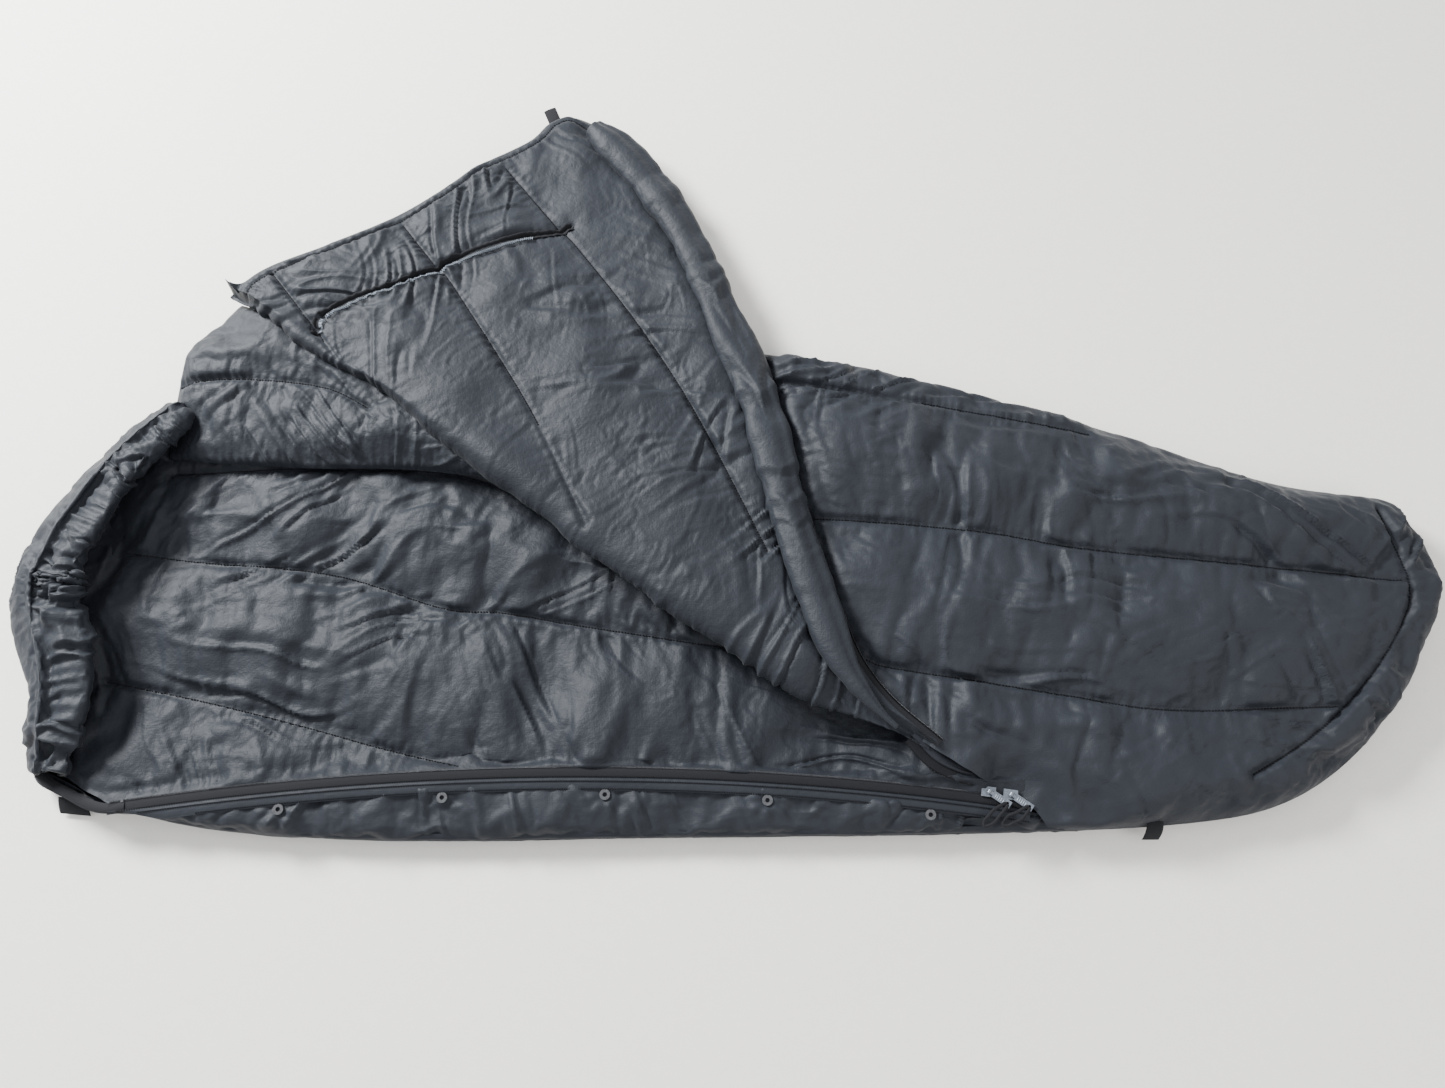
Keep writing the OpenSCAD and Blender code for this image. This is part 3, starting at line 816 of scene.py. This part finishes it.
def make_draft_tube():
    line = resample(free_edge[6:], 190)
    mid = beside(line, 0.0235)
    t = np.linspace(0, 1, len(mid))
    width = 0.0310 * (0.66 + 0.34 * ease(t, 0, 0.16)) * (1 - 0.35 * ease(t, 0.95, 1.0))
    side2 = left_normals(mid)
    side = side2[:, :1] * ALONG + side2[:, 1:] * FLAP_OUT
    up = np.repeat(FLAP_UP[None], len(mid), 0)
    centre = flap_world(mid[:, 0], mid[:, 1], 0.0245 + 0.0015 * noise(t * 15, t * 0, 91))

    def section(f, turn):
        w = np.interp(f, t, width)
        slim = 0.30 + 0.70 * float(ease(np.array(f), 0.0, 0.14))
        swell = 1 + 0.06 * noise(np.array([f * 9]), np.array([3.0]), 55)[0]
        x = w * swell * slim * np.cos(turn)
        z = 0.0185 * swell * slim * np.sin(turn)
        pull = 0.10 * np.exp(-(((turn - 2.1) / 0.28) ** 2))
        return x * (1 - pull), z * (1 - pull * 2.2) + 0.002 * (1 - np.cos(2 * turn)) * 0.2

    obj = sweep("draft_tube_cloth", centre, side, up, section, LINING)
    subdivide(obj)
    co = positions(obj)
    xy = flap_plane(co)
    d, run = distance(xy, mid)
    flow = np.c_[run, co[:, 2] + d]
    move = 0.0034 * creases(flow, 40, 0.16, 0.034, 300) + 0.0036 * creases(flow, 12, 0.22, 0.030, 301)
    move += 0.0016 * puckers(np.abs(d - 0.027), run, 0.031, 0.008, 302)
    set_positions(obj, co + normals(obj) * (move - 0.001)[:, None])
    return obj


draft_tube = make_draft_tube()
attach(draft_tube, "flap")
tuple(on_flap(resample(free_edge, 3))[1])
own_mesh(draft_tube)
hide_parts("draft_tube")


# ---------------------------------------------------------------- the hood
def make_hood():
    base = resample(hood_outline, 170)
    t = np.linspace(0, 1, 170)
    rim_w = np.interp(t, [0, 0.15, 0.35, 0.55, 0.75, 0.9, 1.0],
                      [0.050, 0.066, 0.086, 0.098, 0.088, 0.070, 0.052])
    rim_z = np.interp(t, [0, 0.12, 0.4, 0.7, 0.9, 1.0], [0.080, 0.098, 0.112, 0.112, 0.100, 0.070])
    # the section runs from the floor seam over the rim and down inside: shares of the rim's inset and height
    shape = [
        (0.04, 0.24), (-0.03, 0.34), (-0.01, 0.50), (0.08, 0.66), (0.22, 0.78), (0.38, 0.855), (0.49, 0.865),
        (0.56, 0.875), (0.68, 0.95), (0.84, 1.0), (1.02, 1.0), (1.18, 0.96), (1.27, 0.88), (1.28, 0.78),
        (1.20, 0.68), (1.05, 0.58), (0.86, 0.50), (0.72, 0.41), (0.70, 0.33), (0.85, 0.28), (1.1, 0.265),
    ]
    shape = smooth(shape, 3)
    verts = []
    for w, z in shape:
        p = beside(base, rim_w * w)
        verts.append(np.c_[p, rim_z * z])
    rows = len(verts)
    # both ends of the rim close to a rounded end
    verts = np.array(verts)
    centre = verts.mean(axis=0)
    for k, share in enumerate((0.12, 0.45, 0.68, 0.83, 0.93, 0.98)):
        for col in (k, 169 - k):
            verts[:, col] = centre[col] + (verts[:, col] - centre[col]) * share
    obj = mesh_object("hood_cloth", np.vstack(verts), grid_faces(rows, 170), LINING)
    obj.data.flip_normals()
    row = np.repeat(np.arange(rows), 170)
    pins = (row == 0) | (row == rows - 1) | (row == 18) | (row == 19)
    ends = np.tile(np.arange(170), rows)
    pins |= (ends == 0) | (ends == 169)
    puff(obj, pins, pressure=1.1, grow=0.035, cap=0.010)
    subdivide(obj)
    co = positions(obj)
    lane = beside(base, rim_w * 0.50)
    length = np.linalg.norm(np.diff(lane, axis=0), axis=1).sum()

    def past_seam(xy):
        """How far plan points lie inside the hem's seam, their distance from it and their place along it."""
        d, run = distance(xy, lane)
        return distance(xy, base)[0] - 0.50 * np.interp(run / length, t, rim_w), d, run

    inner, d, run = past_seam(co[:, :2])
    top = ease(co[:, 2], 0.030, 0.075)
    gather = ease(inner, -0.003, 0.008)
    ends = ease(run, 0.0, 0.03) * ease(length - run, 0.0, 0.03)
    fine, broad = puckers(d, run, 0.020, 0.040, 400), puckers(d, run, 0.047, 0.060, 401)
    move = (0.0070 * fine + 0.0045 * broad) * top * gather
    move += 0.0016 * puckers(d, run, 0.017, 0.010, 404) * top * (1 - gather)
    move -= 0.0052 * np.exp(-((d / 0.0046) ** 2)) * top
    move += 0.0030 * np.exp(-(((inner - 0.0085) / 0.0040) ** 2)) * top
    flow = np.c_[run, co[:, 2] * 1.2 + inner]
    folds = 0.0075 * creases(flow, 70, 0.08, 0.022, 402) + 0.0055 * creases(flow, 116, 0.07, 0.018, 403)
    move += folds * gather * ends
    move += 0.0030 * creases(flow, 80, 0.09, 0.030, 405) * (1 - gather) * ends
    set_positions(obj, co + normals(obj) * move[:, None])
    obj.data.materials.append(SHELL)
    middle = np.array([p.center[:] for p in obj.data.polygons])
    outside = (past_seam(middle[:, :2])[0] < 0) & (middle[:, 2] > 0.3 * rim_z.min())
    obj.data.polygons.foreach_set("material_index", outside.astype(np.int32))
    return obj


hood = make_hood()
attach(hood, "bag")
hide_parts("hood_shell", "hood_fill", "hood_lining", "hood_hem", "hood_drawcord")


# -- the puffy far side, between the back panel's far seam and the fold
def make_far_band():
    nu, nv = 120, 34
    bottom = np.array([[-0.868, 0.128], [-0.80, 0.118], [-0.70, 0.112], [-0.61, 0.108], [-0.52, 0.108],
                       [-0.44, 0.102], [-0.36, 0.088], [-0.29, 0.066]])
    top_line = np.array([fold_point(a, s) for a, s in
                         [(-1.425, -0.004), (-1.32, 0.002), (-1.20, 0.002), (-1.08, 0.0), (-0.98, -0.004),
                          (-0.90, -0.010), (-0.80, -0.016)]])
    left = smooth([(-0.868, 0.128), (-0.872, 0.20), (-0.866, 0.27), (-0.850, 0.33), tuple(top_line[0])])
    right = np.array([bottom[-1], top_line[-1]])
    xy = patch(smooth(bottom), smooth(top_line), left, right, nu, nv).reshape(-1, 2)
    v = np.repeat(np.linspace(0, 1, nv), nu)
    u = np.tile(np.linspace(0, 1, nu), nv)
    crease = smooth([(-0.86, 0.245), (-0.80, 0.252), (-0.72, 0.25), (-0.62, 0.235), (-0.55, 0.20)])
    d, _ = distance(xy, crease)
    arch = np.sin(np.pi * np.clip(v * 0.62 + 0.02, 0, 1)) ** 0.8
    z = 0.036 + 0.040 * arch * (1 - 0.55 * ease(u, 0.55, 1.0))
    z += 0.008 * (1 - np.exp(-((d / 0.035) ** 1.3))) - 0.006
    rim, _ = distance(xy, left)
    z = 0.030 + (z - 0.030) * np.sqrt(1 - (1 - np.clip(rim / 0.05, 0, 1)) ** 2) * 1.0
    outside = ease(xy[:, 1], 0.29, 0.37) * ease(-xy[:, 0], 0.72, 0.80)
    z = z * (1 - 0.35 * outside)
    obj = mesh_object("far_side_cloth", np.c_[xy, z], grid_faces(nv, nu), LINING)
    pins = (v == 0) | (v == 1) | (u == 0) | (u == 1) | (d < 0.004)
    puff(obj, pins, pressure=1.6, grow=0.035, cap=0.014)
    subdivide(obj)
    wrinkle(obj, [crease, smooth(bottom)], in_plan, seed=230, lean=75,
            keep=lambda p: ease(distance(p, left)[0], 0, 0.015))
    return obj, crease


far_side, far_crease = make_far_band()
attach(far_side, "bag")
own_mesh(far_side)
stitches("far_side_stitches", far_crease, surface_height(far_side), "bag")


# ---------------------------------------------------------------- the zip
def ribbon(name, left, right, thick, cloth, crown_h=0.0004, across_n=6):
    """A flat tape between two 3-D edges, with a body thickness and softly rounded sides."""
    n = len(left)
    lift = np.array([0, 0, 1.0])
    rows = []
    for t in np.linspace(0, 1, across_n):
        bow = crown_h * math.sin(math.pi * t)
        edge = thick * 0.5 * (1 - (2 * t - 1) ** 6)
        rows.append(left * (1 - t) + right * t + lift * (bow + edge))
    for t in np.linspace(1, 0, across_n):
        bow = crown_h * math.sin(math.pi * t)
        edge = thick * 0.5 * (1 - (2 * t - 1) ** 6)
        rows.append(left * (1 - t) + right * t + lift * (bow - edge))
    return mesh_object(name, np.vstack(rows), grid_faces(len(rows), n, wrap_rows=True), cloth)


def on_zip(out, z, start=ZIP_LEFT, stop=ZIP_RIGHT, n=260, wave=0.0, seed=0):
    """Points along the zip at a distance out from the coil, with a little slackness."""
    x = np.linspace(start, stop, n)
    slack = wave * noise(x * 14, x * 0, seed)
    return np.stack([x, zip_y(x, out) + slack * 0.5, np.full(n, z) + slack], 1)


zip_tape = ribbon("zip_tape_cloth", on_zip(0.0165, COIL_Z + 0.0004), on_zip(0.0012, COIL_Z + 0.0002),
                  0.0008, TAPE)
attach(zip_tape, "bag")
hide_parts("zip_tape_base")
facing_width = 0.0135 + 0.0195 * ease(np.linspace(ZIP_LEFT, ZIP_RIGHT, 260), ZIP_LEFT, ZIP_LEFT + 0.09)
facing = ribbon("zip_facing_cloth", on_zip(facing_width, LEDGE + 0.0004, wave=0.0008, seed=4),
                on_zip(0.0120, LEDGE + 0.0016), 0.0012, SHELL, 0.0014, 9)
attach(facing, "bag")
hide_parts("zip_facing_base")
# each row of stitches: how far out it is, where it starts, and its height over the ledge
for i, (out, start, rise) in enumerate(((0.0135, -0.845, 0.0028), (0.0195, -0.815, 0.0034), (0.0305, -0.735, 0.0018))):
    line = on_zip(out, 0, start=start)[:, :2]
    stitches(f"zip_stitches_{i}", line, lambda p, z=LEDGE + rise: np.full(len(p), z), "bag", pitch=0.0034)


# -- the binding that goes on from the zip's end round the hood's corner
corner_path = smooth([(-0.835, zip_y(-0.835, 0.007)), (-0.862, zip_y(-0.862, 0.007)), (-0.890, -0.398),
                      (-0.922, -0.383), (-0.952, -0.369), (-0.972, -0.352)], 8)
corner_z = np.linspace(COIL_Z + 0.0012, 0.041, len(corner_path))
corner_binding = ribbon("hood_corner_binding", np.c_[beside(corner_path, -0.0075), corner_z - 0.002],
                        np.c_[beside(corner_path, 0.0070), corner_z], 0.0018, TAPE, 0.0016, 8)
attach(corner_binding, "bag")


def coil(name, path, ups, sides, body, node_name, radius=0.0015, pitch=0.0015):
    """A sewn nylon coil: a flattened helix along a path."""
    turns = 8
    s = np.r_[0, np.cumsum(np.linalg.norm(np.diff(path, axis=0), axis=1))]
    n = int(s[-1] / pitch * turns)
    t = np.linspace(0, s[-1], n)
    c = np.stack([np.interp(t, s, path[:, k]) for k in range(3)], 1)
    up = np.stack([np.interp(t, s, ups[:, k]) for k in range(3)], 1)
    side = np.stack([np.interp(t, s, sides[:, k]) for k in range(3)], 1)
    turn = 2 * np.pi * t / pitch
    c = c + side * (radius * 1.15 * np.cos(turn))[:, None] + up * (radius * 0.8 * np.sin(turn))[:, None]
    d = np.gradient(c, axis=0)
    d /= np.linalg.norm(d, axis=1)[:, None]
    n1 = np.cross(d, up)
    n1 /= np.maximum(np.linalg.norm(n1, axis=1), 1e-9)[:, None]
    n2 = np.cross(d, n1)
    wire = 0.00042
    ring = [c + n1 * wire * math.cos(a) + n2 * wire * math.sin(a) for a in (0, 2.094, 4.189)]
    verts = np.stack(ring, 1).reshape(-1, 3)
    obj = mesh_object(name, verts, grid_faces(n, 3, wrap_cols=True), COIL)
    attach(obj, body)
    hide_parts(node_name)
    return obj


base_path = on_zip(0.0, COIL_Z, n=200)
coil("zip_coil_teeth", base_path, np.tile((0, 0, 1.0), (200, 1)), np.tile((0, 1.0, 0), (200, 1)),
     "bag", "zip_coil_base")

edge_line = resample(free_edge, 200)
tape_in, tape_out = beside(edge_line, 0.003), beside(edge_line, -0.0105)
tape_flap = ribbon("flap_zip_tape_cloth", flap_world(tape_in[:, 0], tape_in[:, 1], 0.0052 * np.ones(200)),
                   flap_world(tape_out[:, 0], tape_out[:, 1], 0.0030 * np.ones(200)), 0.0008, TAPE)
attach(tape_flap, "flap")
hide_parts("zip_tape_flap")
coil_line = beside(edge_line, -0.0112)
coil("flap_zip_coil_teeth", flap_world(coil_line[:, 0], coil_line[:, 1], 0.0034 * np.ones(200)),
     np.tile(FLAP_UP, (200, 1)), np.tile(-FLAP_OUT * 0.6 + ALONG * 0.8, (200, 1)), "flap", "zip_coil_flap")


def bevel(name, cloth, width):
    """Gives a CAD node its material and the rounded edges of a cast or moulded piece."""
    obj = frame["nodes"][name]
    obj.data.materials.clear()
    obj.data.materials.append(cloth)
    mod = obj.modifiers.new("edges", "BEVEL")
    mod.width, mod.segments, mod.limit_method = width, 3, "ANGLE"
    mod.angle_limit = math.radians(35)
    obj.data.shade_smooth()
    obj.modifiers.new("shading", "WEIGHTED_NORMAL").keep_sharp = True


for name in ("zip_bottom_stop", "zip_top_stop", "snap_sockets", "snap_studs"):
    bevel(name, SNAP, 0.0004)
for name in ("slider_upper", "slider_lower", "pull_tab_upper", "pull_tab_lower"):
    bevel(name, SLIDER, 0.0005)


# -- the flap's zip tape runs on from under the draft tube to the sliders
def make_zip_bridge():
    mid = smooth([(*fold_point(-0.150, -0.020), 0.071), (*fold_point(-0.105, -0.030), 0.066),
                  (*fold_point(-0.062, -0.024), 0.058), (*fold_point(-0.030, -0.012), 0.0525),
                  (0.366, -0.3795, COIL_Z + 0.0006)], 12)
    d = np.gradient(mid, axis=0)
    side = np.stack([-d[:, 1], d[:, 0], np.zeros(len(d))], 1)
    side /= np.linalg.norm(side, axis=1)[:, None]
    tape = ribbon("zip_bridge_tape", mid + side * 0.0155, mid + side * 0.001, 0.0010, TAPE, 0.0012, 8)
    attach(tape, "bag")
    strip = ribbon("zip_bridge_facing", mid + side * 0.030 - (0, 0, 0.0012),
                   mid + side * 0.0125 + (0, 0, 0.0006), 0.0016, SHELL, 0.0020, 8)
    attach(strip, "bag")
    for i, out in enumerate((0.0140, 0.0190)):
        line = (mid + side * out)[:, :2]
        heights = mid[:, 2]
        reach = mid[:, 0]
        stitches(f"zip_bridge_stitches_{i}", line, lambda p: np.interp(p[:, 0], reach, heights) + 0.0026,
                 "bag", pitch=0.0034)


make_zip_bridge()


def tube_mesh(name, path, radius, cloth, ring=8, flat=1.0):
    """A thread or webbing edge along a path, with its up direction near +Z and its two ends closed."""
    d = np.gradient(path, axis=0)
    d /= np.maximum(np.linalg.norm(d, axis=1), 1e-9)[:, None]
    side = np.cross(d, (0, 0, 1.0))
    side /= np.maximum(np.linalg.norm(side, axis=1), 1e-9)[:, None]
    up = np.cross(side, d)
    turn = np.linspace(0, 2 * np.pi, ring, endpoint=False)
    verts = np.stack([path + side * (radius * math.cos(t)) + up * (radius * flat * math.sin(t))
                      for t in turn], 1)
    faces = [tuple(f) for f in grid_faces(len(path), ring, wrap_cols=True)]
    faces += [tuple(range(ring))[::-1], tuple(range((len(path) - 1) * ring, len(path) * ring))]
    return mesh_object(name, verts.reshape(-1, 3), faces, cloth)


# -- the slit in the flap's lining: two ribbed lips, and a zigzag of pale thread along the outer one
def make_slit():
    line = resample(slit, 150)
    for name, inner, outer in (("slit_lip_near", -0.0068, -0.0008), ("slit_lip_far", 0.0008, 0.0068)):
        a, b = on_flap(beside(line, inner), 0.0022), on_flap(beside(line, outer), 0.0022)
        wave = 0.0006 * np.sin(np.arange(150) * 1.9)[:, None] * FLAP_UP
        lip = ribbon(name, a + wave, b + wave, 0.0022, WEB, 0.0012, 7)
        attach(lip, "flap")
        if name.endswith("near"):
            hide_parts("slit_binding")
    teeth = resample(line[:128], 240)
    side = np.where(np.arange(240) % 2, -0.0060, -0.0115)
    thread = tube_mesh("slit_zigzag", on_flap(beside(teeth, side), 0.0044), 0.00080, PALE_THREAD, 6)
    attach(thread, "flap")
    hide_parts("slit_stitching")


make_slit()


# -- the small webbing pieces
def strap(name, corner, length_dir, width_dir, body, node_name, thick, droop):
    """A short piece of folded webbing, drooping a little."""
    corner, run, wide = (np.array(v, float) for v in (corner, length_dir, width_dir))
    t = np.linspace(0, 1, 14)[:, None]
    drop = np.array([0, 0, -droop]) * t**2
    near = corner + run * t + drop
    far = corner + wide + run * t + drop + run * 0.04 * np.sin(np.pi * t)
    obj = ribbon(name, near, far, thick, WEB, 0.0008, 8)
    subdivide(obj)
    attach(obj, body)
    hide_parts(node_name)


lo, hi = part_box("foot_loop")
strap("foot_loop_webbing", (lo.x, hi.y + 0.006, hi.z + 0.016), (0, lo.y - hi.y - 0.010, 0),
      (hi.x - lo.x, 0, 0), "bag", "foot_loop", 0.0030, 0.026)
lo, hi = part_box("hood_tab")
strap("hood_tab_webbing", (lo.x, hi.y - 0.004, hi.z + 0.002), (0.002, lo.y - hi.y + 0.004, 0),
      (hi.x - lo.x, -0.004, 0.001), "bag", "hood_tab", 0.0024, 0.009)
lo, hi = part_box("flap_corner_tab")
strap("flap_corner_webbing", (lo.x + 0.018, lo.y + 0.002, hi.z + 0.001), (-0.012, 0.030, -0.001),
      (0.020, 0.010, 0), "flap", "flap_corner_tab", 0.0022, 0.002)


def make_pull(which, bend):
    """The webbing loop through a pull tab's eye, and the grip ribs on the tab."""
    joint = joints[f"pull_{which}_swing"]
    pin = np.array(joint["pos_m"])
    swing = np.array(joint["axis"])
    out = np.cross(swing, (0, 0, 1.0)) * -1
    out = out if out[0] > 0 else -out
    right = np.array([out[1], -out[0], 0])
    eye = pin + out * 0.029
    turn = np.radians(108)
    run = out * math.cos(turn) + right * math.sin(turn)
    wide = np.array([-run[1], run[0], 0])
    # (along the loop, across it, above the tab)
    loop = [
        (0.001, 0.0012, 0.0016), (0.008, 0.0036, 0.0030), (0.020, 0.0056, 0.0028), (0.032, 0.0060 + bend, 0.0014),
        (0.041, 0.0042 + bend, 0.0), (0.0455, bend * 1.4, -0.0006), (0.041, -0.0040 + bend, -0.0002),
        (0.032, -0.0056 + bend, 0.0014), (0.020, -0.0052, 0.0030), (0.008, -0.0034, 0.0032),
        (0.001, -0.0012, 0.0016),
    ]
    path = smooth([eye + run * a + wide * b + np.array([0, 0, c]) for a, b, c in loop], 7)
    cord = tube_mesh(f"pull_loop_{which}", path, 0.0023, WEB, 10, 0.55)
    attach(cord, f"pull_{which}")
    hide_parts(f"pull_strap_{which}")
    verts, faces = [], []
    for k in range(5):
        centre = pin + out * (0.0105 + 0.0030 * k) + np.array([0, 0, 0.00115])
        first = len(verts)
        for side in np.linspace(-1, 1, 9):
            for turn_k in np.linspace(0, 2 * np.pi, 8, endpoint=False):
                size = 0.00062 * math.sqrt(max(0.02, 1 - side**4))
                rim = out * size * math.cos(turn_k) + np.array([0, 0, size * math.sin(turn_k)])
                verts.append(centre + right * side * 0.0038 + rim)
        faces += [tuple(f) for f in grid_faces(9, 8, wrap_cols=True, first=first)]
    ribs = mesh_object(f"pull_ribs_{which}", verts, faces, SLIDER)
    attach(ribs, f"pull_{which}")


make_pull("upper", 0.002)
make_pull("lower", -0.003)


# ---------------------------------------------------------------- floor, light and camera
def concrete(tree, shader):
    link = tree.links.new
    place = tree.nodes.new("ShaderNodeTexCoord").outputs["Object"]
    grain = node(tree, "ShaderNodeTexNoise", Scale=60.0, Detail=8.0, Roughness=0.7)
    link(place, grain.inputs["Vector"])
    link(ramp(tree, grain, (0.72, 0.69, 0.635), (0.81, 0.78, 0.73)), shader.inputs["Base Color"])
    shader.inputs["Roughness"].default_value = 0.85


floor = mesh_object("floor", [(-9, -9, 0), (9, -9, 0), (9, 9, 0), (-9, 9, 0)], [(0, 1, 2, 3)],
                    material("floor_stone", concrete))

world = bpy.data.worlds.new("sky")
bpy.context.scene.world = world
world.use_nodes = True
world.node_tree.nodes["Background"].inputs["Color"].default_value = (0.93, 0.96, 1.0, 1)
world.node_tree.nodes["Background"].inputs["Strength"].default_value = 1.30


def area_light(name, place, target, size, power, colour):
    data = bpy.data.lights.new(name, "AREA")
    data.shape, data.size, data.size_y = "RECTANGLE", *size
    data.energy, data.color = power, colour
    obj = bpy.data.objects.new(name, data)
    bpy.context.scene.collection.objects.link(obj)
    obj.location = place
    obj.rotation_euler = (Vector(target) - Vector(place)).to_track_quat("-Z", "Y").to_euler()


area_light("sky_light", (-2.6, 1.9, 2.1), (0, 0, 0), (1.3, 0.9), 560, (0.95, 0.98, 1.0))
area_light("fill_light", (2.4, -1.8, 2.2), (0, 0, 0), (2.0, 1.4), 40, (1.0, 0.98, 0.95))

camera = bpy.data.objects.new("camera", bpy.data.cameras.new("camera"))
bpy.context.scene.collection.objects.link(camera)
camera.data.lens = 26.03
camera.location = (0, -0.5037, 1.5502)
camera.rotation_euler = (Vector((0, 0, 0)) - camera.location).to_track_quat("-Z", "Y").to_euler()
bpy.context.scene.camera = camera
